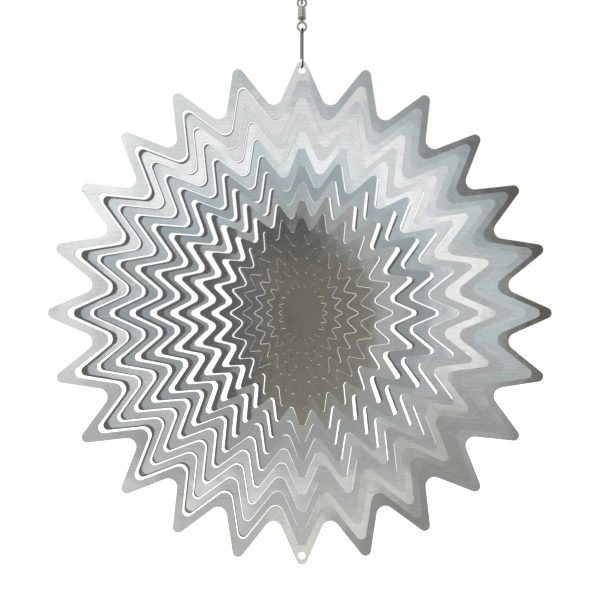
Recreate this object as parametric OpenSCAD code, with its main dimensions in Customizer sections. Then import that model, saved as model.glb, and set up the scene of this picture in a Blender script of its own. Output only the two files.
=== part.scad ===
// Hanging wind spinner cut from one sheet of stainless steel.
// The sheet hangs in the XZ plane and faces -Y. Its rings turn about the
// vertical axis, and the point where the hanging ring bears is the origin.

/* [Sheet] */
// Radius over the ray tips of the flat sheet
tip_r = 152.4; // [148:0.1:160]
// Thickness of the sheet
sheet_t = 0.5; // [0.4:0.1:0.8]
// Sharp valley radius as a share of the sharp tip radius
valley_ratio = 0.776; // [0.76:0.002:0.79]
// Rounding of a ray's tip, as a share of its outline's radius
tip_round = 0.022; // [0.02:0.001:0.024]
// Rounding of a valley, as a share of its outline's radius
valley_round = 0.035; // [0.03:0.001:0.04]
// Diameter of the hanging hole and of the lower hole
hole_d = 4.6; // [4:0.1:4.8]
// Distance from a ray's tip to the centre of its hole
hole_inset = 5.4; // [5.2:0.1:5.8]

/* [Slits] */
// Distance from the sheet's tips to the first slit, measured at a tip
rim_w = 11.2; // [10:0.1:13]
// Radius of the last slit, measured at a tip
plate_r = 19.2; // [18:0.1:24]
// Width of a slit, the same all along it
slit_w = 0.2; // [0.15:0.05:0.3]
// Width of the bridges that stay uncut at the top and bottom of a slit
bridge_w = 3.8; // [3.4:0.1:4.4]

/* [Link] */
// Diameter of the link's wire
link_wire = 0.9; // [0.8:0.1:1.1]
// Radius of the link's two bends, to the middle of the wire
link_r = 2.6; // [2.5:0.1:2.8]
// Distance between the centres of the two bends
link_span = 18; // [16:0.5:20]
// Opening in the link's rear leg, above the lower bend
link_gap = 3.7; // [3:0.1:4.5]
// Turn of the link away from edge-on
link_turn = 11; // [5:1:15]

/* [Swivel] */
// Outside diameter of the swivel's barrel
barrel_d = 5; // [5:0.1:5.4]
// Length of the swivel's barrel
barrel_l = 6.2; // [6:0.1:7]
// Diameter of the wire of the two eyes
eye_wire = 1.2; // [1.1:0.1:1.3]
// Radius of an eye, to the middle of its wire
eye_r = 2.6; // [2.5:0.1:2.8]
// Diameter of the eyes' shanks
shank_d = 1.6; // [1.5:0.1:1.6]
// Diameter of the hanging ring's wire
ring_wire = 1.6; // [1.4:0.1:1.8]
// Inside radius of the hanging ring
ring_in_r = 7; // [6.5:0.1:9]

/* [Hidden] */
// Number of rays, a multiple of four so that one points straight up and one straight down
rays = 24;
// Number of slits; ring 0 is the rim, and the last piece is the centre plate
slits = 13;
// Flat steps along each rounded tip and valley
arc_steps = 4;
// Turn of each ring about the vertical axis, its +X edge towards -Y, from the rim to the plate
ring_turn = [0, 3.4, 5.5, 8.5, 12.4, 17.2, 23.2, 30, 36.3, 38.2, 38.7, 39.7, 40.7, 41.7];
// How far a bridge runs into the sheet at each end, past the curve of its slit
neck_lap = 0.15;
// Widest bridge as a share of its slit's radius
neck_share = 0.14;
// Gap left where one wire hangs on another
hang_gap = 0.06;
// Running gap of the lower eye's shank in the barrel
shank_gap = 0.06;
// Interference of the pressed cap and of the pressed upper shank
press = 0.02;
// Barrel's wall and floor, and how much of each shank's end lies in its eye's wire
barrel_wall = 0.55;
barrel_floor = 1;
shank_seat = 0.2;
// Bare shank between an eye and the barrel
low_shank = 1.5;
top_shank = 0.3;
// How far straight wire laps over a bend, and how much thicker it is there
joint_lap = 0.1;
joint_swell = 0.02;
// Bearing: balls on a thin race, under the head of the lower shank
ball_count = 8;
ball_d = 1;
ball_pitch_r = 1.38;
ball_gap = 0.02;
race_t = 0.4;
race_in_r = 0.95;
head_r = 1.85;
head_t = 0.9;
// Cap that closes the barrel, and the riveted end of the upper shank below it
cap_t = 1.2;
rivet_r = 1.3;
rivet_t = 0.5;
// Roundness of drilled and turned shapes
$fn = 48;

// Half of the angle between two rays, and half of the angles at a tip and a valley
half_step = 180 / rays;
tip_half = atan2(valley_ratio * sin(half_step), 1 - valley_ratio * cos(half_step));
valley_half = tip_half + half_step;
// Sharp corners of the outline whose rounded tips lie at radius 1
sharp_tip = 1 + tip_round * (1 / sin(tip_half) - 1);
sharp_valley = valley_ratio * sharp_tip;
slit_pitch = (tip_r - rim_w - plate_r) / (slits - 1);

// Heights above the middle of the sheet, from the hanging hole up
link_low_z = tip_r - hole_inset + hole_d / 2 - link_wire / 2 - hang_gap + link_r;
link_top_z = link_low_z + link_span;
low_eye_z = link_top_z + link_r - link_wire / 2 - hang_gap - eye_wire / 2 + eye_r;
barrel_z = low_eye_z + eye_r + eye_wire / 2 + low_shank;
race_z = barrel_z + barrel_floor;
ball_z = race_z + race_t + ball_d / 2 + ball_gap / 2;
head_z = ball_z + ball_d / 2 + ball_gap;
barrel_top_z = barrel_z + barrel_l;
top_eye_z = barrel_top_z + top_shank + eye_r + eye_wire / 2;
ring_z = top_eye_z + eye_r - eye_wire / 2 - hang_gap + ring_in_r;
// The origin lies where a hook bears inside the hanging ring
drop = ring_z + ring_in_r;

steel = [0.76, 0.78, 0.8];
dark_steel = [0.2, 0.2, 0.2];
nickel = [0.66, 0.65, 0.62];

function two_digits(k) = str(k < 10 ? "0" : "", k);
function ring_name(k) = k == 0 ? "outer_ring" : k == slits ? "centre_plate" : str("ring_", two_digits(k));
function bridge_name(k) = str("twist_bridge_", two_digits(k));

// Outline of rays and valleys, as arcs joined by straight flanks, grown outwards by grow
function turned(p, a) = [p.x * cos(a) - p.y * sin(a), p.x * sin(a) + p.y * cos(a)];
function arc(centre, r, from, to) = [
    for (i = [0:arc_steps])
        let (a = from + (to - from) * i / arc_steps)
            [centre + r * cos(a), r * sin(a)]
];
function tip_arc(r, grow) = arc(r * (1 - tip_round), r * tip_round + grow, tip_half - 90, 90 - tip_half);
function valley_arc(r, grow) = arc(r * (sharp_valley + valley_round / sin(valley_half)),
    r * valley_round - grow, 270 - valley_half, 90 + valley_half);
function ray(r, grow) = concat(tip_arc(r, grow), [for (p = valley_arc(r, grow)) turned(p, half_step)]);
function outline(r, grow = 0) = [
    for (k = [0:rays - 1])
        for (p = ray(r, grow))
            turned(p, 360 * k / rays)
];

// Height of an outline's top ray at a distance x from the vertical axis
function height(r, grow, x) = x < (tip_round * r + grow) * cos(tip_half)
    ? r * (1 - tip_round) + sqrt(pow(tip_round * r + grow, 2) - x * x)
    : sharp_tip * r + grow / sin(tip_half) - x / tan(tip_half);

// Slit k lies between piece k - 1 and piece k
function slit_r(k) = tip_r - rim_w - (k - 1) * slit_pitch;
function neck_w(k) = min(bridge_w, neck_share * slit_r(k));
function neck_top(k) = height(slit_r(k), slit_w / 2, neck_w(k) / 2) - neck_lap;
function neck_bottom(k) = height(slit_r(k), -slit_w / 2, neck_w(k) / 2) - neck_lap;

// Strips of sheet on the vertical axis, between two heights above and below the middle
module strips(k, from, to) {
    for (side = [0, 180])
        rotate(side)
            translate([-neck_w(k) / 2, from])
                square([neck_w(k), to - from]);
}

// A flat shape stood up in the XZ plane, and turned with ring k
module as_sheet(k) {
    color(steel)
        translate([0, 0, -drop])
            rotate([90, 0, -ring_turn[k]])
                linear_extrude(height = sheet_t, center = true)
                    children();
}

module ring_shape(k) {
    difference() {
        polygon(k == 0 ? outline(tip_r) : outline(slit_r(k), -slit_w / 2));
        if (k < slits)
            difference() {
                polygon(outline(slit_r(k + 1), slit_w / 2));
                strips(k + 1, neck_top(k + 1), slit_r(k + 1) + 1);
            }
        if (k > 0)
            strips(k, neck_bottom(k), slit_r(k) + 1);
    }
}

module outer_ring() {
    as_sheet(0)
        difference() {
            ring_shape(0);
            for (side = [-1, 1])
                translate([0, side * (tip_r - hole_inset)])
                    circle(d = hole_d);
        }
}

module ring(k) {
    as_sheet(k)
        ring_shape(k);
}

module twist_bridge(k) {
    as_sheet(k)
        strips(k, neck_bottom(k), neck_top(k));
}

// A bend of round wire about the Z axis, starting at the angle from
module bend(r, wire, from, sweep) {
    rotate(from)
        rotate_extrude(angle = sweep)
            translate([r, 0])
                circle(d = wire);
}

// Straight round wire in the XY plane, drawn over the ends of the bends that it joins
module straight(start, direction, length, wire) {
    translate(start)
        rotate([0, 90, direction])
            translate([0, 0, -joint_lap])
                cylinder(h = length + 2 * joint_lap, d = wire + joint_swell);
}

// Bent wire stood up in the YZ plane
module upright(turn) {
    translate([0, 0, -drop])
        rotate([90, 0, 90 + turn])
            children();
}

module open_link() {
    color(dark_steel)
        upright(link_turn) {
            translate([0, link_low_z])
                bend(link_r, link_wire, 180, 180);
            straight([-link_r, link_low_z], 90, link_span, link_wire);
            translate([0, link_top_z])
                bend(link_r, link_wire, 0, 180);
            straight([link_r, link_top_z], -90, link_span - link_gap, link_wire);
        }
}

// A closed eye in the XZ plane
module eye(z) {
    translate([0, 0, z])
        rotate([90, 0, 0])
            bend(eye_r, eye_wire, 0, 360);
}

module lower_eye() {
    shank_z = low_eye_z + eye_r - shank_seat;
    color(nickel)
        translate([0, 0, -drop]) {
            eye(low_eye_z);
            translate([0, 0, shank_z])
                cylinder(h = head_z - shank_z + head_t / 2, d = shank_d);
            translate([0, 0, head_z])
                cylinder(h = head_t, r = head_r);
        }
}

module bearing_balls() {
    color(steel)
        translate([0, 0, ball_z - drop])
            for (i = [0:ball_count - 1])
                rotate(360 * i / ball_count)
                    translate([ball_pitch_r, 0])
                        sphere(d = ball_d);
}

module race_washer() {
    color(steel)
        translate([0, 0, race_z - drop])
            difference() {
                cylinder(h = race_t, r = barrel_d / 2 - barrel_wall - shank_gap);
                translate([0, 0, -1])
                    cylinder(h = race_t + 2, r = race_in_r);
            }
}

module swivel_barrel() {
    color(nickel)
        translate([0, 0, barrel_z - drop])
            difference() {
                cylinder(h = barrel_l, d = barrel_d);
                translate([0, 0, barrel_floor])
                    cylinder(h = barrel_l, r = barrel_d / 2 - barrel_wall);
                translate([0, 0, -1])
                    cylinder(h = barrel_floor + 2, r = shank_d / 2 + shank_gap);
            }
}

module swivel_cap() {
    color(nickel)
        translate([0, 0, barrel_top_z - cap_t - drop])
            difference() {
                cylinder(h = cap_t, r = barrel_d / 2 - barrel_wall + press);
                translate([0, 0, -1])
                    cylinder(h = cap_t + 2, d = shank_d);
            }
}

module upper_eye() {
    rivet_z = barrel_top_z - cap_t - rivet_t;
    shank_top = top_eye_z - eye_r + shank_seat;
    color(nickel)
        translate([0, 0, -drop]) {
            eye(top_eye_z);
            translate([0, 0, rivet_z])
                cylinder(h = rivet_t, r = rivet_r);
            translate([0, 0, rivet_z + rivet_t / 2])
                cylinder(h = shank_top - rivet_z - rivet_t / 2, r = shank_d / 2 + press);
        }
}

module hanging_ring() {
    color(steel)
        upright(0)
            translate([0, ring_z])
                bend(ring_in_r + ring_wire / 2, ring_wire, 0, 360);
}

outer_ring();
for (k = [1:slits])
    ring(k);
for (k = [1:slits])
    twist_bridge(k);
open_link();
lower_eye();
bearing_balls();
race_washer();
swivel_barrel();
swivel_cap();
upper_eye();
hanging_ring();
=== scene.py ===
import math

import bpy
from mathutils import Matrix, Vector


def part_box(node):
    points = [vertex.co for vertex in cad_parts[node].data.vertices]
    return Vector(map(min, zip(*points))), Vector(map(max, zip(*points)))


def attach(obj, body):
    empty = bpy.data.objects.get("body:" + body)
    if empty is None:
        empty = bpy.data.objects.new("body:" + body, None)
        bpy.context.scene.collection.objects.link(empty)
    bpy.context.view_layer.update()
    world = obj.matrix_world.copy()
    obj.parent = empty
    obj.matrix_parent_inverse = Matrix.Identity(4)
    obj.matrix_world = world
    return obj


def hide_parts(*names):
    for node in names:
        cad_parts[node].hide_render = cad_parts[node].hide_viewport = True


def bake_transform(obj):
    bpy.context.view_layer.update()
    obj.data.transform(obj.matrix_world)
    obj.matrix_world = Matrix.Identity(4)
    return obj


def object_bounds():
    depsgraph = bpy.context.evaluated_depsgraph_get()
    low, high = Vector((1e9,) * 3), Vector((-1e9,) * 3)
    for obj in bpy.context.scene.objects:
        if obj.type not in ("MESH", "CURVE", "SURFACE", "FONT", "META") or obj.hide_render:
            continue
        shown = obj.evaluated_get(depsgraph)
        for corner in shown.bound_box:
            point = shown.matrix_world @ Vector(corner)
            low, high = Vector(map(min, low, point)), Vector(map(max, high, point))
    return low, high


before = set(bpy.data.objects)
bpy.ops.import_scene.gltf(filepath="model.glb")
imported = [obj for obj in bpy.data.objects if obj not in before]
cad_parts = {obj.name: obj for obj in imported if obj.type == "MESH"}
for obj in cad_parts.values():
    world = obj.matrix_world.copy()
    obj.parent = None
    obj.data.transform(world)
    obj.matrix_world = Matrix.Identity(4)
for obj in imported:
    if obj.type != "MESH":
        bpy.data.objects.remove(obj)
cad_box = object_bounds()

# The camera. It looks level at the middle of the sheet, from a little to the left and from
# less than one sheet's width away, so the near edges of the turned rings look clearly larger.
rim_low, rim_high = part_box("outer_ring")
TIP_RADIUS = (rim_high.x - rim_low.x) / 2
MIDDLE = (rim_high.z + rim_low.z) / 2
VIEW_DISTANCE = 1.888 * TIP_RADIUS
VIEW_TURN = math.radians(0.9)
FILM = 0.036
SHEET_ON_FILM = 0.8387

camera_data = bpy.data.cameras.new("front_camera")
camera_data.sensor_width = FILM * 1000
camera_data.lens = FILM * 1000 * SHEET_ON_FILM * VIEW_DISTANCE / (2 * TIP_RADIUS)
camera_data.shift_x = -0.0032
camera_data.shift_y = 0.0217
camera_data.clip_start = 0.01
camera = bpy.data.objects.new("front_camera", camera_data)
camera.location = (
    -VIEW_DISTANCE * math.sin(VIEW_TURN),
    -VIEW_DISTANCE * math.cos(VIEW_TURN),
    MIDDLE,
)
camera.rotation_euler = (math.radians(90), 0, -VIEW_TURN)
bpy.context.scene.collection.objects.link(camera)
bpy.context.scene.camera = camera


# The sheet. It is stainless steel, brushed along X and cut by laser, so its faces have
# a fine level grain and stray scratches, and its cut edges are duller and browner.
class Net:
    """A node tree that is being built."""

    def __init__(self, tree):
        self.tree = tree

    def add(self, kind, settings=None, values=None):
        """Adds a node, with its settings first and then the values or links of its sockets."""
        node = self.tree.nodes.new(kind)
        for name, setting in (settings or {}).items():
            if name == "stops":
                set_stops(node.color_ramp, setting)
            else:
                setattr(node, name, setting)
        for name, value in (values or {}).items():
            socket = node.inputs[name]
            if isinstance(value, Wire):
                self.tree.links.new(value.socket, socket)
            elif isinstance(value, (list, tuple)) and value and isinstance(value[0], Wire):
                for one in value:
                    self.tree.links.new(one.socket, socket)
            else:
                socket.default_value = value
        return Wire(self, node)

    def mix(self, factor, dark, light):
        """A colour between two others."""
        return self.add("ShaderNodeMix", {"data_type": "RGBA"}, {0: factor, 6: dark, 7: light}).out(2)

    def noise(self, place, scale, detail=2):
        """Smooth chance variation, with so many changes in a unit of the place."""
        values = {"Vector": place, "Scale": scale, "Detail": detail}
        return self.add("ShaderNodeTexNoise", None, values).out("Fac")

    def shade(self, tint, dark_stop, light_stop):
        """A colour that goes from dark to light with a tint, between two stops."""
        return self.add("ShaderNodeValToRGB", {"stops": [dark_stop, light_stop]}, {0: tint})

    def bump(self, height, strength, distance):
        values = {"Strength": strength, "Distance": distance, "Height": height}
        return self.add("ShaderNodeBump", None, values)


class Wire:
    """A node's output. Arithmetic on it adds Math nodes."""

    def __init__(self, net, node, name=0):
        self.net = net
        self.node = node
        self.socket = node.outputs[name] if node.outputs else None

    def out(self, name):
        return Wire(self.net, self.node, name)

    def math(self, operation, *others):
        values = {place: value for place, value in enumerate((self, *others))}
        return self.net.add("ShaderNodeMath", {"operation": operation}, values)

    def share(self):
        """The value, kept from 0 to 1."""
        return self.math("MAXIMUM", 0).math("MINIMUM", 1)

    def __add__(self, other):
        return self.math("ADD", other)

    def __sub__(self, other):
        return self.math("SUBTRACT", other)

    def __mul__(self, other):
        return self.math("MULTIPLY", other)

    def __truediv__(self, other):
        return self.math("DIVIDE", other)

    def __rsub__(self, other):
        return self.net.add("ShaderNodeMath", {"operation": "SUBTRACT"}, {0: other, 1: self})

    __radd__ = __add__
    __rmul__ = __mul__


def set_stops(ramp, stops):
    """Gives a colour ramp its stops, each a place from 0 to 1 and a colour."""
    while len(ramp.elements) > 1:
        ramp.elements.remove(ramp.elements[-1])
    for number, (place, colour) in enumerate(stops):
        stop = ramp.elements[0] if number == 0 else ramp.elements.new(place)
        stop.position = place
        stop.color = (*colour, 1)


def new_material(name):
    """An empty material and the net of its nodes."""
    material = bpy.data.materials.new(name)
    material.use_nodes = True
    material.node_tree.nodes.clear()
    return material, Net(material.node_tree)


def finish_material(net, values):
    """Ends a material in one Principled shader."""
    shader = net.add("ShaderNodeBsdfPrincipled", None, values)
    net.add("ShaderNodeOutputMaterial", None, {0: shader})


FACE_DARK = (0.59, 0.6, 0.61)
FACE_LIGHT = (0.73, 0.74, 0.74)
EDGE_DARK = (0.3, 0.285, 0.26)
EDGE_LIGHT = (0.72, 0.7, 0.67)
# How many changes there are in a metre, along the brushing and across it or all ways alike.
GRAIN_FINENESS = (260, 2400)
BAND_FINENESS = (60, 800)
RISING_SCRATCHES = (60, 1900)
FALLING_SCRATCHES = (45, 1500)
WAVE_FINENESS = 28
RIPPLE_FINENESS = 110
SPECK_FINENESS = 1500
RIB_FINENESS = 3000
BURN_FINENESS = 160


def streaks(net, place, fineness, turn=0):
    """Noise drawn out level, or at a turn."""
    along, across = fineness
    values = {"Vector": place, "Rotation": (0, 0, turn), "Scale": (along, across, 1)}
    turned = net.add("ShaderNodeMapping", None, values)
    return net.noise(turned, 1, 3)


def brushed_steel():
    """The faces: a fine level grain, a slow waviness, sparkling specks and stray scratches."""
    material, net = new_material("brushed_stainless_sheet")
    place = net.add("ShaderNodeAttribute", {"attribute_name": "flat"}).out("Vector")
    grain = streaks(net, place, GRAIN_FINENESS)
    band = streaks(net, place, BAND_FINENESS)
    wave = net.noise(place, WAVE_FINENESS)
    ripple = net.noise(place, RIPPLE_FINENESS)
    speck = net.noise(place, SPECK_FINENESS)
    rising = streaks(net, place, RISING_SCRATCHES, 0.5).math("GREATER_THAN", 0.7)
    falling = streaks(net, place, FALLING_SCRATCHES, -0.3).math("GREATER_THAN", 0.71)
    scratch = rising + falling
    tint = grain * 0.5 + band * 0.3 + speck * 0.2
    colour = net.shade(tint, (0.35, FACE_DARK), (0.65, FACE_LIGHT))
    roughness = 0.05 + grain * 0.08 + speck * 0.05 + scratch * 0.12
    height = grain * 0.5 + band * 0.6 + speck * 0.5 + ripple * 3 + wave * 20 - scratch * 0.5
    bump = net.bump(height, 0.2, 0.0001)
    finish_material(net, {"Base Color": colour, "Metallic": 1.0, "Roughness": roughness, "Normal": bump})
    return material


def cut_edge():
    """The walls that the laser leaves: browned, dull and ribbed."""
    material, net = new_material("laser_cut_edge")
    place = net.add("ShaderNodeAttribute", {"attribute_name": "flat"}).out("Vector")
    rib = net.noise(place, RIB_FINENESS)
    burn = net.noise(place, BURN_FINENESS)
    colour = net.shade(rib * 0.5 + burn * 0.5, (0.35, EDGE_DARK), (0.65, EDGE_LIGHT))
    roughness = 0.16 + burn * 0.2
    bump = net.bump(rib, 0.4, 0.00003)
    finish_material(net, {"Base Color": colour, "Metallic": 1.0, "Roughness": roughness, "Normal": bump})
    return material


SHEET_FACE = brushed_steel()
CUT_EDGE = cut_edge()

# The rings. One outline of rounded rays and valleys, at fourteen sizes, bounds them all.
# Ring 0 is the rim and the last one is the centre plate. Each is turned further about
# the vertical axis than the one outside it, its right edge towards the viewer.
RAYS = 24
THICKNESS = 0.0005
VALLEY_RATIO = 0.776
TIP_ROUND = 0.022
VALLEY_ROUND = 0.035
RIM_WIDTH = 0.0112
PLATE_RADIUS = 0.0192
SLIT_WIDTH = 0.0002
BRIDGE_WIDTH = 0.0038
BRIDGE_SHARE = 0.14
HOLE_RADIUS = 0.0023
HOLE_INSET = 0.0054
RING_TURN = [0, 3.4, 5.5, 8.5, 12.4, 17.2, 23.2, 30, 36.3, 38.2, 38.7, 39.7, 40.7, 41.7]
EDGE_ROUND = 0.0001
TIP_STEPS = 6
FLANK_STEPS = 10
VALLEY_STEPS = 6
HOLE_STEPS = 40
WELD_DISTANCE = 1e-6
PLATE = len(RING_TURN) - 1
RING_NAMES = ["outer_ring", *(f"ring_{number:02d}" for number in range(1, PLATE)), "centre_plate"]

half_step = math.pi / RAYS
tip_half = math.atan2(VALLEY_RATIO * math.sin(half_step), 1 - VALLEY_RATIO * math.cos(half_step))
valley_half = tip_half + half_step
sharp_tip = 1 + TIP_ROUND * (1 / math.sin(tip_half) - 1)
valley_centre = VALLEY_RATIO * sharp_tip + VALLEY_ROUND / math.sin(valley_half)
slit_pitch = (TIP_RADIUS - RIM_WIDTH - PLATE_RADIUS) / (PLATE - 1)


def slit_radius(number):
    """Tip radius of the middle of a slit; slit k lies between ring k - 1 and ring k."""
    return TIP_RADIUS - RIM_WIDTH - (number - 1) * slit_pitch


def bridge_half(number):
    """Half the width of a slit's bridges, which are narrower near the centre."""
    return min(BRIDGE_WIDTH, BRIDGE_SHARE * slit_radius(number)) / 2


def ray_height(radius, grow, x):
    """Height of an outline's top ray, grown outwards, at a distance x from the vertical axis."""
    rounding = TIP_ROUND * radius + grow
    if x < rounding * math.cos(tip_half):
        return radius * (1 - TIP_ROUND) + math.sqrt(rounding**2 - x**2)
    return sharp_tip * radius + grow / math.sin(tip_half) - x / math.tan(tip_half)


def bridge_top(number):
    """Height of a bridge's outer end above the sheet's middle, where it leaves the outer ring."""
    return ray_height(slit_radius(number), SLIT_WIDTH / 2, bridge_half(number))


def bridge_foot(number):
    """Height of a bridge's inner end, where it joins the ring inside."""
    return ray_height(slit_radius(number), -SLIT_WIDTH / 2, bridge_half(number))


def new_geometry_tree(name, inputs):
    """A geometry tree with named inputs; returns its net, the inputs' wires and identifiers."""
    tree = bpy.data.node_groups.new(name, "GeometryNodeTree")
    identifiers = {}
    for title, kind in inputs.items():
        socket = tree.interface.new_socket(name=title, in_out="INPUT", socket_type=kind)
        identifiers[title] = socket.identifier
    tree.interface.new_socket(name="Geometry", in_out="OUTPUT", socket_type="NodeSocketGeometry")
    net = Net(tree)
    group = net.add("NodeGroupInput")
    wires = {title: group.out(title) for title in inputs}
    return net, wires, identifiers


def outline_curve(net, radius, grow, neck, cut):
    """Nodes for one closed outline, grown outwards, with its top and bottom tips cut level."""
    half = TIP_STEPS + FLANK_STEPS + VALLEY_STEPS
    index = net.add("GeometryNodeInputIndex")
    ray = (index / (2 * half)).math("FLOOR")
    along = index - ray * (2 * half)
    second = along.math("GREATER_THAN", half)
    step = half - (along - half).math("ABSOLUTE")
    side = 1 - second * 2
    tip_angle = (step / TIP_STEPS).math("MINIMUM", 1) * (math.pi / 2 - tip_half)
    valley_left = ((half - step) / VALLEY_STEPS).math("MINIMUM", 1)
    valley_angle = valley_left * (math.pi / 2 - valley_half)
    share = ((step - TIP_STEPS) / FLANK_STEPS).share()
    tip_round = radius * TIP_ROUND + grow
    tip_x = radius * (1 - TIP_ROUND) + tip_angle.math("COSINE") * tip_round
    tip_y = tip_angle.math("SINE") * tip_round
    valley_round = radius * VALLEY_ROUND - grow
    in_x = radius * valley_centre - valley_angle.math("COSINE") * valley_round
    in_y = valley_angle.math("SINE") * valley_round * -1
    valley_x = in_x * math.cos(half_step) - in_y * math.sin(half_step)
    valley_y = in_x * math.sin(half_step) + in_y * math.cos(half_step)
    x = tip_x + (valley_x - tip_x) * share
    y = (tip_y + (valley_y - tip_y) * share) * side
    turn = (ray + second) * (2 * half_step)
    cosine = turn.math("COSINE")
    sine = turn.math("SINE")
    flat_x = x * cosine - y * sine
    flat_z = x * sine + y * cosine
    over_bridge = flat_x.math("ABSOLUTE").math("LESS_THAN", neck)
    level = flat_z.math("MINIMUM", cut).math("MAXIMUM", cut * -1)
    flat_z = flat_z + (level - flat_z) * over_bridge
    place = net.add("ShaderNodeCombineXYZ", None, {0: flat_x, 1: flat_z})
    circle = net.add("GeometryNodeCurvePrimitiveCircle", None, {"Resolution": 2 * half * RAYS})
    return net.add("GeometryNodeSetPosition", None, {"Geometry": circle, "Position": place})


EDGE_SIZES = ("Radius", "Grow", "Neck", "Cut")


def ring_tree():
    """Cuts one ring from flat sheet, stands it up and turns it about the vertical axis."""
    inputs = {f"{edge} {size}": "NodeSocketFloat" for edge in ("Outer", "Inner") for size in EDGE_SIZES}
    inputs["Solid Middle"] = "NodeSocketBool"
    inputs["Tip Holes"] = "NodeSocketBool"
    inputs["Turn"] = "NodeSocketFloat"
    inputs["Middle"] = "NodeSocketFloat"
    net, given, identifiers = new_geometry_tree("sheet_ring", inputs)
    outer, inner = [
        outline_curve(net, *[given[f"{edge} {size}"] for size in EDGE_SIZES]) for edge in ("Outer", "Inner")
    ]
    opening = net.add("GeometryNodeSwitch", {"input_type": "GEOMETRY"}, {0: given["Solid Middle"], 1: inner})
    sizes = {"Resolution": HOLE_STEPS, "Radius": HOLE_RADIUS}
    circle = net.add("GeometryNodeCurvePrimitiveCircle", None, sizes)
    hole_height = given["Outer Radius"] - HOLE_INSET
    circles = []
    for side in (1, -1):
        place = net.add("ShaderNodeCombineXYZ", None, {1: hole_height * side})
        circles.append(net.add("GeometryNodeTransform", None, {"Geometry": circle, "Translation": place}))
    both = net.add("GeometryNodeJoinGeometry", None, {0: circles})
    holes = net.add("GeometryNodeSwitch", {"input_type": "GEOMETRY"}, {0: given["Tip Holes"], 2: both})
    curves = net.add("GeometryNodeJoinGeometry", None, {0: [outer, opening, holes]})
    face = net.add("GeometryNodeFillCurve", None, {0: curves})
    thick = net.add(
        "GeometryNodeExtrudeMesh",
        {"mode": "FACES"},
        {"Mesh": face, "Offset Scale": THICKNESS, "Individual": False},
    )
    walled = net.add(
        "GeometryNodeStoreNamedAttribute",
        {"data_type": "BOOLEAN", "domain": "FACE"},
        {"Geometry": thick, "Name": "cut", "Value": thick.out("Side")},
    )
    back = net.add("GeometryNodeFlipFaces", None, {0: face})
    closed = net.add("GeometryNodeJoinGeometry", None, {0: [walled, back]})
    welded = net.add("GeometryNodeMergeByDistance", None, {"Geometry": closed, "Distance": WELD_DISTANCE})
    marked = net.add(
        "GeometryNodeStoreNamedAttribute",
        {"data_type": "FLOAT_VECTOR", "domain": "POINT"},
        {"Geometry": welded, "Name": "flat", "Value": net.add("GeometryNodeInputPosition")},
    )
    centred = net.add(
        "GeometryNodeTransform", None, {"Geometry": marked, "Translation": (0, 0, -THICKNESS / 2)}
    )
    stood = net.add(
        "GeometryNodeTransform", None, {"Geometry": centred, "Rotation": (math.pi / 2, 0, 0)}
    )
    angle = net.add("ShaderNodeCombineXYZ", None, {2: given["Turn"] * -1})
    height = net.add("ShaderNodeCombineXYZ", None, {2: given["Middle"]})
    turned = net.add(
        "GeometryNodeTransform",
        None,
        {"Geometry": stood, "Rotation": angle, "Translation": height},
    )
    whole = net.add("GeometryNodeRealizeInstances", None, {0: turned})
    faced = net.add("GeometryNodeSetMaterial", None, {"Geometry": whole, "Material": SHEET_FACE})
    cut = net.add("GeometryNodeInputNamedAttribute", {"data_type": "BOOLEAN"}, {"Name": "cut"})
    edged = net.add(
        "GeometryNodeSetMaterial", None, {"Geometry": faced, "Selection": cut, "Material": CUT_EDGE}
    )
    net.add("NodeGroupOutput", None, {0: edged})
    return net.tree, identifiers


def plain_mesh(name, tree, identifiers, values):
    """Runs a geometry tree with these values and returns its result as an object with a plain mesh."""
    maker = bpy.data.objects.new(name + "_maker", bpy.data.meshes.new(name + "_maker"))
    bpy.context.scene.collection.objects.link(maker)
    modifier = maker.modifiers.new("rule", "NODES")
    modifier.node_group = tree
    for title, value in values.items():
        modifier[identifiers[title]] = value
    bpy.context.view_layer.update()
    seen = maker.evaluated_get(bpy.context.evaluated_depsgraph_get())
    mesh = bpy.data.meshes.new_from_object(seen)
    mesh.name = name
    bpy.data.objects.remove(maker)
    piece = bpy.data.objects.new(name, mesh)
    bpy.context.scene.collection.objects.link(piece)
    return piece


def edge_sizes(edge, radius, grow=0.0, neck=0.0, cut=1.0):
    """The inputs for one edge of a ring. Its tips are cut level over the bridges, if it has any."""
    return {f"{edge} {size}": value for size, value in zip(EDGE_SIZES, (radius, grow, neck, cut))}


SHEET_TREE, SHEET_INPUTS = ring_tree()
for number, ring in enumerate(RING_NAMES):
    outer = edge_sizes("Outer", TIP_RADIUS)
    if number > 0:
        foot = bridge_foot(number)
        outer = edge_sizes("Outer", slit_radius(number), -SLIT_WIDTH / 2, bridge_half(number), foot)
    inner = edge_sizes("Inner", PLATE_RADIUS)
    if number < PLATE:
        next_in = number + 1
        top = bridge_top(next_in)
        inner = edge_sizes("Inner", slit_radius(next_in), SLIT_WIDTH / 2, bridge_half(next_in), top)
    values = {
        **outer,
        **inner,
        "Solid Middle": number == PLATE,
        "Tip Holes": number == 0,
        "Turn": math.radians(RING_TURN[number]),
        "Middle": MIDDLE,
    }
    piece = plain_mesh(ring + "_sheet", SHEET_TREE, SHEET_INPUTS, values)
    bevel = piece.modifiers.new("edge_round", "BEVEL")
    bevel.width = EDGE_ROUND
    bevel.segments = 2
    bevel.limit_method = "ANGLE"
    bevel.angle_limit = math.radians(60)
    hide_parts(ring)
    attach(piece, ring)

# The bridges. Two strips of sheet stay uncut at the top and the bottom of each slit, and
# twist as the ring inside the slit is turned against the ring outside it.
BRIDGE_STEPS = 8
BRIDGE_COLUMNS = 5
BRIDGE_LAP = 0.0002
BRIDGE_THIN = 0.00002


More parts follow.
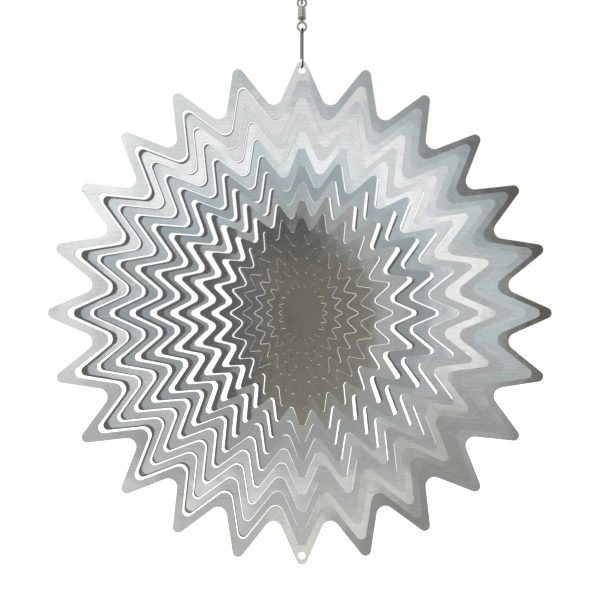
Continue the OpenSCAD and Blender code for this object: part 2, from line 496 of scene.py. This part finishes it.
def bridge_tree():
    """A strip of sheet on the vertical axis, twisted between two turns."""
    titles = ("Width", "Foot", "Top", "Foot Turn", "Top Turn", "Middle")
    net, given, identifiers = new_geometry_tree("twisted_bridge", dict.fromkeys(titles, "NodeSocketFloat"))
    length = given["Top"] - given["Foot"] + 2 * BRIDGE_LAP
    size = net.add("ShaderNodeCombineXYZ", None, {0: given["Width"], 1: THICKNESS - BRIDGE_THIN, 2: length})
    sizes = {"Size": size, "Vertices X": BRIDGE_COLUMNS, "Vertices Y": 2, "Vertices Z": BRIDGE_STEPS + 1}
    strip = net.add("GeometryNodeMeshCube", None, sizes)
    centre = net.add("ShaderNodeCombineXYZ", None, {2: (given["Top"] + given["Foot"]) / 2})
    placed = net.add("GeometryNodeTransform", None, {"Geometry": strip, "Translation": centre})
    spot = net.add("ShaderNodeSeparateXYZ", None, {0: net.add("GeometryNodeInputPosition")})
    flat = net.add("ShaderNodeCombineXYZ", None, {0: spot.out(0), 1: spot.out(2)})
    marked = net.add(
        "GeometryNodeStoreNamedAttribute",
        {"data_type": "FLOAT_VECTOR", "domain": "POINT"},
        {"Geometry": placed, "Name": "flat", "Value": flat},
    )
    share = ((spot.out(2) - given["Foot"]) / (given["Top"] - given["Foot"])).share()
    smooth = share * share * (3 - share * 2)
    turn = given["Foot Turn"] + (given["Top Turn"] - given["Foot Turn"]) * smooth
    place = net.add(
        "ShaderNodeVectorRotate",
        {"rotation_type": "Z_AXIS"},
        {"Vector": net.add("GeometryNodeInputPosition"), "Angle": turn * -1},
    )
    twisted = net.add("GeometryNodeSetPosition", None, {"Geometry": marked, "Position": place})
    height = net.add("ShaderNodeCombineXYZ", None, {2: given["Middle"]})
    hung = net.add("GeometryNodeTransform", None, {"Geometry": twisted, "Translation": height})
    whole = net.add("GeometryNodeRealizeInstances", None, {0: hung})
    faced = net.add("GeometryNodeSetMaterial", None, {"Geometry": whole, "Material": SHEET_FACE})
    net.add("NodeGroupOutput", None, {0: faced})
    return net.tree, identifiers


BRIDGE_TREE, BRIDGE_INPUTS = bridge_tree()
for number in range(1, PLATE + 1):
    inner_turn = math.radians(RING_TURN[number])
    outer_turn = math.radians(RING_TURN[number - 1])
    foot = bridge_foot(number)
    top = bridge_top(number)
    for where, side in (("top", 1), ("low", -1)):
        values = {
            "Width": 2 * bridge_half(number),
            "Foot": foot if side > 0 else -top,
            "Top": top if side > 0 else -foot,
            "Foot Turn": inner_turn if side > 0 else outer_turn,
            "Top Turn": outer_turn if side > 0 else inner_turn,
            "Middle": MIDDLE,
        }
        name = f"{where}_bridge_{number:02d}"
        piece = plain_mesh(name, BRIDGE_TREE, BRIDGE_INPUTS, values)
        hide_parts(f"twist_bridge_{number:02d}")
        MIDDLE + side * top
        MIDDLE + side * foot
        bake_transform(piece)

# The open link. A dark oiled steel wire, bent round twice by hand into a long link. It goes
# through the sheet's top hole, and its rear leg stops short, so the sheet can be taken off.
LINK_WIRE = 0.00045
LINK_BEND = 0.0026
LINK_SPAN = 0.018
LINK_GAP = 0.0037
LINK_TURN = math.radians(11)
LINK_STEPS = 220
WIRE_SIDES = 20
NIPPED_END = 0.6
LINK_DARK = (0.035, 0.034, 0.033)
LINK_LIGHT = (0.11, 0.107, 0.103)


def oiled_wire():
    """Dark drawn wire: fine lines, a patchy film of oil and small rubbed spots."""
    material, net = new_material("dark_oiled_wire")
    place = net.add("ShaderNodeTexCoord").out("Object")
    lines = net.noise(place, 2600, 3)
    film = net.noise(place, 420, 3)
    rubbed = (film - 0.58).math("MAXIMUM", 0) * 5
    colour = net.shade(lines * 0.6 + film * 0.4 + rubbed, (0.35, LINK_DARK), (0.8, LINK_LIGHT))
    roughness = 0.3 + film * 0.25
    bump = net.bump(lines, 0.12, 0.00002)
    finish_material(net, {"Base Color": colour, "Metallic": 1.0, "Roughness": roughness, "Normal": bump})
    return material


def link_tree():
    """Bends one wire from the end above the lower bend, up the front leg and over to the rear."""
    titles = ("Wire Radius", "Bend Radius", "Span", "Gap", "Low Centre")
    net, given, identifiers = new_geometry_tree("open_link_wire", dict.fromkeys(titles, "NodeSocketFloat"))
    bend = given["Bend Radius"]
    span = given["Span"]
    half_turn = bend * math.pi
    rear = span - given["Gap"]
    total = half_turn * 2 + span + rear
    run = net.add("GeometryNodeInputIndex") / (LINK_STEPS - 1) * total
    low_bend = run.math("MINIMUM", half_turn)
    front_leg = (run - half_turn).math("MAXIMUM", 0).math("MINIMUM", span)
    top_bend = (run - half_turn - span).math("MAXIMUM", 0).math("MINIMUM", half_turn)
    rear_leg = (run - half_turn * 2 - span).math("MAXIMUM", 0)
    angle = (low_bend + top_bend) / bend * -1
    side = angle.math("COSINE") * bend
    height = given["Low Centre"] + angle.math("SINE") * bend + front_leg - rear_leg
    spot = {0: side * -math.sin(LINK_TURN), 1: side * math.cos(LINK_TURN), 2: height}
    place = net.add("ShaderNodeCombineXYZ", None, spot)
    line = net.add("GeometryNodeCurvePrimitiveLine")
    stepped = net.add("GeometryNodeResampleCurve", None, {"Curve": line, "Count": LINK_STEPS})
    bent = net.add("GeometryNodeSetPosition", None, {"Geometry": stepped, "Position": place})
    round_wire = {"Resolution": WIRE_SIDES, "Radius": given["Wire Radius"]}
    profile = net.add("GeometryNodeCurvePrimitiveCircle", None, round_wire)
    to_end = run.math("MINIMUM", total - run) / given["Wire Radius"]
    nipped = (NIPPED_END + to_end * NIPPED_END).math("MINIMUM", 1)
    sweep = {"Curve": bent, "Profile Curve": profile, "Scale": nipped, "Fill Caps": True}
    wire = net.add("GeometryNodeCurveToMesh", None, sweep)
    whole = net.add("GeometryNodeRealizeInstances", None, {0: wire})
    oiled = net.add("GeometryNodeSetMaterial", None, {"Geometry": whole, "Material": oiled_wire()})
    net.add("NodeGroupOutput", None, {0: oiled})
    return net.tree, identifiers


def smooth_all_but_edges(mesh):
    """Shades a mesh smooth, except over its sharp corners."""
    mesh.shade_smooth()
    mesh.set_sharp_from_angle(angle=math.radians(35))


link_low, link_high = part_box("open_link")
LINK_TREE, LINK_INPUTS = link_tree()
values = {
    "Wire Radius": LINK_WIRE,
    "Bend Radius": LINK_BEND,
    "Span": LINK_SPAN,
    "Gap": LINK_GAP,
    "Low Centre": link_low.z + LINK_WIRE + LINK_BEND,
}
link = plain_mesh("bent_link", LINK_TREE, LINK_INPUTS, values)
smooth_all_but_edges(link.data)
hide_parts("open_link")
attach(link, "open_link")

# The swivel. Nickel-plated brass: a turned barrel closed by a pressed cap, with a wire eye
# on a turned shank above and below. The upper shank is riveted through the cap, and the
# head of the lower one runs on eight balls inside.
EYE_WIRE = 0.0006
EYE_BEND = 0.0026
SHANK = 0.0008
SHANK_SEAT = 0.0002
HEAD = 0.00185
HEAD_THICK = 0.0009
RIVET = 0.0013
RIVET_THICK = 0.0005
BARREL = 0.0025
BARREL_WALL = 0.00055
BARREL_FLOOR = 0.001
BARREL_BORE = 0.00086
CAP_THICK = 0.0012
CHAMFER = 0.00015
GROOVE = 0.0001
GROOVE_OFFSET = 0.0012
BEAD_ANGLE = 2.8
BEAD_FALL = 12
LOOP_STEPS = 120
TURNED_STEPS = 72
NICKEL_DARK = (0.36, 0.34, 0.3)
NICKEL_LIGHT = (0.62, 0.6, 0.55)


def dull_nickel():
    """Plating gone dull: fine turning lines, cloudy tarnish and a few bare spots."""
    material, net = new_material("dull_nickel_plate")
    place = net.add("ShaderNodeTexCoord").out("Object")
    level = net.add("ShaderNodeMapping", None, {"Vector": place, "Scale": (300, 300, 9000)})
    lines = net.noise(level, 1, 3)
    cloud = net.noise(place, 500, 4)
    colour = net.shade(lines * 0.4 + cloud * 0.6, (0.35, NICKEL_DARK), (0.62, NICKEL_LIGHT))
    roughness = 0.2 + cloud * 0.22
    bump = net.bump(lines, 0.25, 0.00002)
    finish_material(net, {"Base Color": colour, "Metallic": 1.0, "Roughness": roughness, "Normal": bump})
    return material


def loop_tree(name, material):
    """A closed loop of wire round a level axis, with a small bead where it is welded."""
    titles = ("Wire Radius", "Bend Radius", "Centre", "Turn", "Bead")
    net, given, identifiers = new_geometry_tree(name, dict.fromkeys(titles, "NodeSocketFloat"))
    angle = net.add("GeometryNodeInputIndex") * (2 * math.pi / LOOP_STEPS)
    side = angle.math("COSINE") * given["Bend Radius"]
    height = given["Centre"] + angle.math("SINE") * given["Bend Radius"]
    turn = given["Turn"]
    spot = {0: side * turn.math("COSINE"), 1: side * turn.math("SINE"), 2: height}
    place = net.add("ShaderNodeCombineXYZ", None, spot)
    circle = net.add("GeometryNodeCurvePrimitiveCircle", None, {"Resolution": LOOP_STEPS})
    bent = net.add("GeometryNodeSetPosition", None, {"Geometry": circle, "Position": place})
    round_wire = {"Resolution": WIRE_SIDES, "Radius": given["Wire Radius"]}
    profile = net.add("GeometryNodeCurvePrimitiveCircle", None, round_wire)
    to_bead = (angle - BEAD_ANGLE).math("ABSOLUTE") * BEAD_FALL
    swell = 1 + given["Bead"] * (1 - to_bead).math("MAXIMUM", 0)
    sweep = {"Curve": bent, "Profile Curve": profile, "Scale": swell}
    wire = net.add("GeometryNodeCurveToMesh", None, sweep)
    whole = net.add("GeometryNodeRealizeInstances", None, {0: wire})
    plated = net.add("GeometryNodeSetMaterial", None, {"Geometry": whole, "Material": material})
    net.add("NodeGroupOutput", None, {0: plated})
    return net.tree, identifiers


def turned_part(name, steps, bored, material):
    """A part turned on the vertical axis, from its radius and height at each step going up.

    A bored part's steps go on down its inside wall.
    """
    around = range(TURNED_STEPS)
    points = []
    for radius, height in steps:
        for place in around:
            angle = 2 * math.pi * place / TURNED_STEPS
            points.append((radius * math.cos(angle), radius * math.sin(angle), height))
    faces = []
    for row in range(len(steps) if bored else len(steps) - 1):
        above = (row + 1) % len(steps)
        for place in around:
            beside = (place + 1) % TURNED_STEPS
            low = row * TURNED_STEPS
            high = above * TURNED_STEPS
            faces.append((low + place, low + beside, high + beside, high + place))
    if not bored:
        last_row = len(points) - TURNED_STEPS
        faces.append(list(reversed(around)))
        faces.append([last_row + place for place in around])
    mesh = bpy.data.meshes.new(name)
    mesh.from_pydata(points, [], faces)
    mesh.materials.append(material)
    smooth_all_but_edges(mesh)
    piece = bpy.data.objects.new(name, mesh)
    bpy.context.scene.collection.objects.link(piece)
    return piece


def join_swivel(piece, node, body):
    """Puts a piece of the swivel in the place of its plain node."""
    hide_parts(node)
    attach(piece, body)


NICKEL = dull_nickel()
EYE_TREE, EYE_INPUTS = loop_tree("swivel_eye", NICKEL)

barrel_low, barrel_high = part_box("swivel_barrel")
floor_top = barrel_low.z + BARREL_FLOOR
barrel_inside = BARREL - BARREL_WALL
barrel_middle = (barrel_low.z + barrel_high.z) / 2
barrel_steps = [
    (BARREL_BORE, barrel_low.z),
    (BARREL - 2 * CHAMFER, barrel_low.z),
    (BARREL, barrel_low.z + 2 * CHAMFER),
]
for groove_height in (barrel_middle - GROOVE_OFFSET, barrel_middle + GROOVE_OFFSET):
    barrel_steps += [
        (BARREL, groove_height - 2 * GROOVE),
        (BARREL - GROOVE, groove_height - GROOVE),
        (BARREL - GROOVE, groove_height + GROOVE),
        (BARREL, groove_height + 2 * GROOVE),
    ]
barrel_steps += [
    (BARREL, barrel_high.z - 2 * CHAMFER),
    (BARREL - CHAMFER, barrel_high.z),
    (barrel_inside + GROOVE, barrel_high.z),
    (barrel_inside, barrel_high.z - GROOVE),
    (barrel_inside, floor_top),
    (BARREL_BORE, floor_top),
]
join_swivel(turned_part("turned_barrel", barrel_steps, True, NICKEL), "swivel_barrel", "swivel_body")

cap_steps = [
    (SHANK, barrel_high.z - CAP_THICK),
    (barrel_inside - CHAMFER, barrel_high.z - CAP_THICK),
    (barrel_inside, barrel_high.z - CAP_THICK + CHAMFER),
    (barrel_inside, barrel_high.z - 2 * CHAMFER),
    (barrel_inside - CHAMFER, barrel_high.z - CHAMFER),
    (SHANK + CHAMFER, barrel_high.z),
    (SHANK, barrel_high.z - CHAMFER),
]
join_swivel(turned_part("pressed_cap", cap_steps, True, NICKEL), "swivel_cap", "swivel_body")

lower_low, lower_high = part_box("lower_eye")
upper_low, upper_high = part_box("upper_eye")
lower_centre = lower_low.z + EYE_WIRE + EYE_BEND
upper_centre = upper_high.z - EYE_WIRE - EYE_BEND
for name, centre, node, body in (
    ("lower_loop", lower_centre, "lower_eye", "lower_eye"),
    ("upper_loop", upper_centre, "upper_eye", "swivel_body"),
):
    values = {"Wire Radius": EYE_WIRE, "Bend Radius": EYE_BEND, "Centre": centre, "Turn": 0.0, "Bead": 0.0}
    loop = plain_mesh(name, EYE_TREE, EYE_INPUTS, values)
    smooth_all_but_edges(loop.data)
    join_swivel(loop, node, body)

shank_foot = lower_centre + EYE_BEND - SHANK_SEAT
head_low = lower_high.z - HEAD_THICK
lower_steps = [
    (SHANK - CHAMFER, shank_foot),
    (SHANK + CHAMFER, shank_foot + EYE_WIRE),
    (SHANK, shank_foot + 2 * EYE_WIRE),
    (SHANK, head_low),
    (HEAD - CHAMFER, head_low),
    (HEAD, head_low + CHAMFER),
    (HEAD, lower_high.z - CHAMFER),
    (HEAD - CHAMFER, lower_high.z),
]
join_swivel(turned_part("lower_shank", lower_steps, False, NICKEL), "lower_eye", "lower_eye")

shank_top = upper_centre - EYE_BEND + SHANK_SEAT
upper_steps = [
    (RIVET - CHAMFER, upper_low.z),
    (RIVET, upper_low.z + CHAMFER),
    (RIVET, upper_low.z + RIVET_THICK - CHAMFER),
    (RIVET - CHAMFER, upper_low.z + RIVET_THICK),
    (SHANK, upper_low.z + RIVET_THICK),
    (SHANK, shank_top - EYE_WIRE),
    (SHANK - CHAMFER, shank_top),
]
join_swivel(turned_part("upper_shank", upper_steps, False, NICKEL), "upper_eye", "swivel_body")

# The bearing. Eight polished balls roll between a hardened race on the barrel's floor and
# the lower shank's head. Nothing fixes them: the barrel keeps them in.
STEEL_DARK = (0.5, 0.5, 0.52)
STEEL_LIGHT = (0.72, 0.72, 0.74)


def bearing_steel():
    """Ground and polished steel under a trace of grease."""
    material, net = new_material("polished_bearing_steel")
    place = net.add("ShaderNodeTexCoord").out("Object")
    grease = net.noise(place, 900, 3)
    lines = net.noise(place, 6000)
    colour = net.shade(grease, (0.35, STEEL_DARK), (0.65, STEEL_LIGHT))
    roughness = 0.06 + grease * 0.12
    bump = net.bump(lines, 0.1, 0.00001)
    finish_material(net, {"Base Color": colour, "Metallic": 1.0, "Roughness": roughness, "Normal": bump})
    return material


BEARING_STEEL = bearing_steel()
for node in ("bearing_balls", "race_washer"):
    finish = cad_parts[node].data.materials
    finish.clear()
    finish.append(BEARING_STEEL)

# The hanging ring. Drawn stainless wire, bent round and welded shut, with the weld's small
# bead left on one side. It goes over a hook or a nail, and the upper eye swings on it.
RING_WIRE = 0.0008
RING_BEND = 0.0078
RING_BEAD = 0.06
DRAWN_DARK = (0.42, 0.42, 0.42)
DRAWN_LIGHT = (0.66, 0.66, 0.65)


def drawn_wire():
    """Bright wire with fine drawing lines round it and small dents."""
    material, net = new_material("drawn_stainless_wire")
    place = net.add("ShaderNodeTexCoord").out("Object")
    thin = net.add("ShaderNodeMapping", None, {"Vector": place, "Scale": (7000, 500, 500)})
    lines = net.noise(thin, 1, 3)
    dents = net.noise(place, 900)
    colour = net.shade(lines * 0.6 + dents * 0.4, (0.35, DRAWN_DARK), (0.65, DRAWN_LIGHT))
    roughness = 0.14 + lines * 0.16
    bump = net.bump(lines * 0.5 + dents, 0.25, 0.00002)
    finish_material(net, {"Base Color": colour, "Metallic": 1.0, "Roughness": roughness, "Normal": bump})
    return material


RING_TREE, RING_INPUTS = loop_tree("hanging_ring_wire", drawn_wire())
ring_low, ring_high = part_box("hanging_ring")
values = {
    "Wire Radius": RING_WIRE,
    "Bend Radius": RING_BEND,
    "Centre": (ring_low.z + ring_high.z) / 2,
    "Turn": math.pi / 2,
    "Bead": RING_BEAD,
}
hoop = plain_mesh("welded_ring", RING_TREE, RING_INPUTS, values)
smooth_all_but_edges(hoop.data)
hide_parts("hanging_ring")
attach(hoop, "hanging_ring")

# The room: a plain pale floor below the spinner, and round it the soft light of a studio
# with bright panels in front, darker corners at the sides and one window behind. Only the
# metal shows them: behind the spinner itself the room is plain white.
FLOOR_DROP = 0.12
FLOOR_HALF = 3.0
FLOOR_GLOW = 0.7
PALE_LOW = (0.9, 0.9, 0.89)
PALE_HIGH = (0.96, 0.96, 0.95)
WHITE = (1, 1, 1, 1)


def pale_floor():
    """Matt pale board, slightly mottled and lit evenly."""
    material, net = new_material("pale_backdrop")
    mottle = net.noise(net.add("ShaderNodeTexCoord").out("Object"), 6)
    glow = {"Emission Color": WHITE, "Emission Strength": FLOOR_GLOW}
    colour = net.shade(mottle, (0.3, PALE_LOW), (0.7, PALE_HIGH))
    finish_material(net, {"Base Color": colour, "Roughness": 0.9, **glow})
    return material


floor_z = cad_box[0][2] - FLOOR_DROP
floor_corners = [
    (-FLOOR_HALF, -FLOOR_HALF, floor_z),
    (FLOOR_HALF, -FLOOR_HALF, floor_z),
    (FLOOR_HALF, FLOOR_HALF, floor_z),
    (-FLOOR_HALF, FLOOR_HALF, floor_z),
]
floor_mesh = bpy.data.meshes.new("floor")
floor_mesh.from_pydata(floor_corners, [], [(0, 1, 2, 3)])
floor_mesh.materials.append(pale_floor())
floor = bpy.data.objects.new("floor", floor_mesh)
bpy.context.scene.collection.objects.link(floor)
floor.visible_glossy = False

world = bpy.data.worlds.new("studio")
world.use_nodes = True
world.node_tree.nodes.clear()
bpy.context.scene.world = world
room = Net(world.node_tree)
way = room.add("ShaderNodeSeparateXYZ", None, {0: room.add("ShaderNodeTexCoord").out("Generated")})
compass = way.out(0).math("ARCTAN2", way.out(1) * -1) * (180 / math.pi) + math.degrees(VIEW_TURN)
rise = way.out(2).math("ARCSINE") * (180 / math.pi)


def band_of_light(tones):
    """Light all round the room, by degrees to the right of straight out in front of the sheet."""
    stops = [((degrees + 180) / 360, colour) for degrees, colour in tones]
    return room.add("ShaderNodeValToRGB", {"stops": stops}, {0: (compass + 180) / 360})


def walled_light(tones):
    """The same, for the height of the walls, closed behind by a dim wall with the window in it."""
    window = [(98, BACK_WINDOW), (110, BACK_WINDOW), (122, BACK_WALL)]
    return band_of_light([(-104, BACK_WALL), *tones, *window])


BACK_WALL = (0.24, 0.24, 0.235)
BACK_WINDOW = (1.1, 1.1, 1.1)
level_light = walled_light(
    [
        (-90, (0.15, 0.14, 0.1)),
        (-85, (0.17, 0.155, 0.12)),
        (-83, (0.24, 0.22, 0.175)),
        (-68, (0.26, 0.24, 0.2)),
        (-64, (0.54, 0.54, 0.52)),
        (-59, (0.62, 0.63, 0.62)),
        (-55, (0.36, 0.37, 0.37)),
        (-48, (0.34, 0.36, 0.37)),
        (-42, (0.45, 0.48, 0.5)),
        (-36, (0.4, 0.46, 0.48)),
        (-31, (0.48, 0.52, 0.54)),
        (-28, (0.6, 0.65, 0.68)),
        (-26, (1.2, 1.2, 1.18)),
        (-22, (0.95, 0.96, 0.94)),
        (-19, (0.68, 0.71, 0.71)),
        (-14, (0.62, 0.65, 0.64)),
        (-9, (1.02, 1.02, 0.98)),
        (-3, (1.4, 1.4, 1.36)),
        (1, (0.65, 0.65, 0.64)),
        (4, (0.56, 0.57, 0.56)),
        (10, (0.72, 0.77, 0.79)),
        (17, (0.75, 0.81, 0.83)),
        (22, (0.6, 0.63, 0.62)),
        (25.5, (0.34, 0.34, 0.31)),
        (28, (0.14, 0.125, 0.09)),
        (34, (0.08, 0.07, 0.045)),
        (92, (0.1, 0.1, 0.09)),
    ]
)
high_light = walled_light(
    [
        (-90, (0.12, 0.12, 0.11)),
        (-73, (0.12, 0.125, 0.12)),
        (-70.5, (0.4, 0.41, 0.4)),
        (-65, (0.54, 0.56, 0.55)),
        (-60, (0.5, 0.53, 0.53)),
        (-56, (0.68, 0.73, 0.74)),
        (-50, (0.58, 0.65, 0.67)),
        (-44, (0.42, 0.5, 0.52)),
        (-38, (0.48, 0.56, 0.58)),
        (-32, (0.66, 0.76, 0.79)),
        (-28, (0.78, 0.85, 0.88)),
        (-25, (0.98, 1.03, 1.04)),
        (-22.5, (1.3, 1.32, 1.31)),
        (-20, (1.42, 1.42, 1.4)),
        (-18, (1.02, 1.04, 1.04)),
        (-14, (0.88, 0.91, 0.91)),
        (-10, (0.9, 0.92, 0.92)),
        (-7, (1.3, 1.3, 1.26)),
        (-3, (1.25, 1.24, 1.22)),
        (0, (0.9, 0.95, 0.97)),
        (4, (0.78, 0.83, 0.85)),
        (10, (0.68, 0.74, 0.76)),
        (15, (0.43, 0.47, 0.49)),
        (20, (0.27, 0.28, 0.27)),
        (23, (0.19, 0.19, 0.17)),
        (30, (0.12, 0.11, 0.09)),
        (92, (0.15, 0.15, 0.14)),
    ]
)
low_light = walled_light(
    [
        (-90, (0.22, 0.2, 0.16)),
        (-72, (0.3, 0.28, 0.22)),
        (-66, (0.38, 0.38, 0.33)),
        (-60, (0.5, 0.5, 0.46)),
        (-50, (0.47, 0.48, 0.46)),
        (-40, (0.44, 0.46, 0.45)),
        (-32, (0.56, 0.58, 0.58)),
        (-24, (0.66, 0.67, 0.66)),
        (-16, (0.45, 0.45, 0.43)),
        (-10, (0.45, 0.45, 0.43)),
        (-5, (0.55, 0.55, 0.52)),
        (0, (0.72, 0.7, 0.64)),
        (4, (0.42, 0.41, 0.38)),
        (10, (0.42, 0.4, 0.37)),
        (18, (0.45, 0.45, 0.43)),
        (24, (0.6, 0.6, 0.6)),
        (27, (0.32, 0.31, 0.29)),
        (34, (0.2, 0.19, 0.16)),
        (92, (0.2, 0.2, 0.19)),
    ]
)
ceiling_light = band_of_light(
    [
        (-60, (1.0, 1.0, 1.0)),
        (-30, (0.82, 0.85, 0.86)),
        (-17, (0.8, 0.84, 0.86)),
        (-14, (1.05, 1.07, 1.07)),
        (-9, (1.1, 1.1, 1.08)),
        (-7, (0.66, 0.7, 0.72)),
        (-2, (0.6, 0.64, 0.66)),
        (-0.5, (1.15, 1.14, 1.1)),
        (1.5, (1.15, 1.14, 1.1)),
        (3, (0.6, 0.64, 0.66)),
        (8, (0.53, 0.56, 0.58)),
        (14, (0.47, 0.49, 0.5)),
        (20, (0.35, 0.36, 0.36)),
        (40, (0.3, 0.3, 0.29)),
        (90, (1.0, 1.0, 1.0)),
    ]
)
ground_light = band_of_light(
    [
        (-50, (0.5, 0.5, 0.48)),
        (-28, (0.62, 0.62, 0.6)),
        (-22, (1.1, 1.09, 1.03)),
        (-18, (1.1, 1.09, 1.03)),
        (-15, (0.8, 0.79, 0.75)),
        (-10, (0.65, 0.65, 0.62)),
        (-3, (0.66, 0.65, 0.61)),
        (0.5, (1.05, 1.03, 0.97)),
        (4, (0.95, 0.93, 0.87)),
        (7, (0.48, 0.47, 0.44)),
        (12, (0.34, 0.33, 0.31)),
        (60, (0.5, 0.5, 0.48)),
    ]
)
# The degrees above or below level where each band of light starts, and where it is alone.
HIGH_BAND = (4, 10)
LOW_BAND = (-3, -13)
CEILING_BAND = (20, 24)
GROUND_BAND = (-15, -22)
room_light = level_light
for (start, full), light in (
    (HIGH_BAND, high_light),
    (LOW_BAND, low_light),
    (CEILING_BAND, ceiling_light),
    (GROUND_BAND, ground_light),
):
    room_light = room.mix(((rise - start) / (full - start)).share(), room_light, light)
seen = room.add("ShaderNodeLightPath").out("Is Camera Ray")
shown = room.mix(seen, room_light, WHITE)
lit = room.add("ShaderNodeBackground", None, {"Color": shown, "Strength": 1.0})
room.add("ShaderNodeOutputWorld", None, {0: lit})

bpy.context.scene.view_settings.view_transform = "Standard"
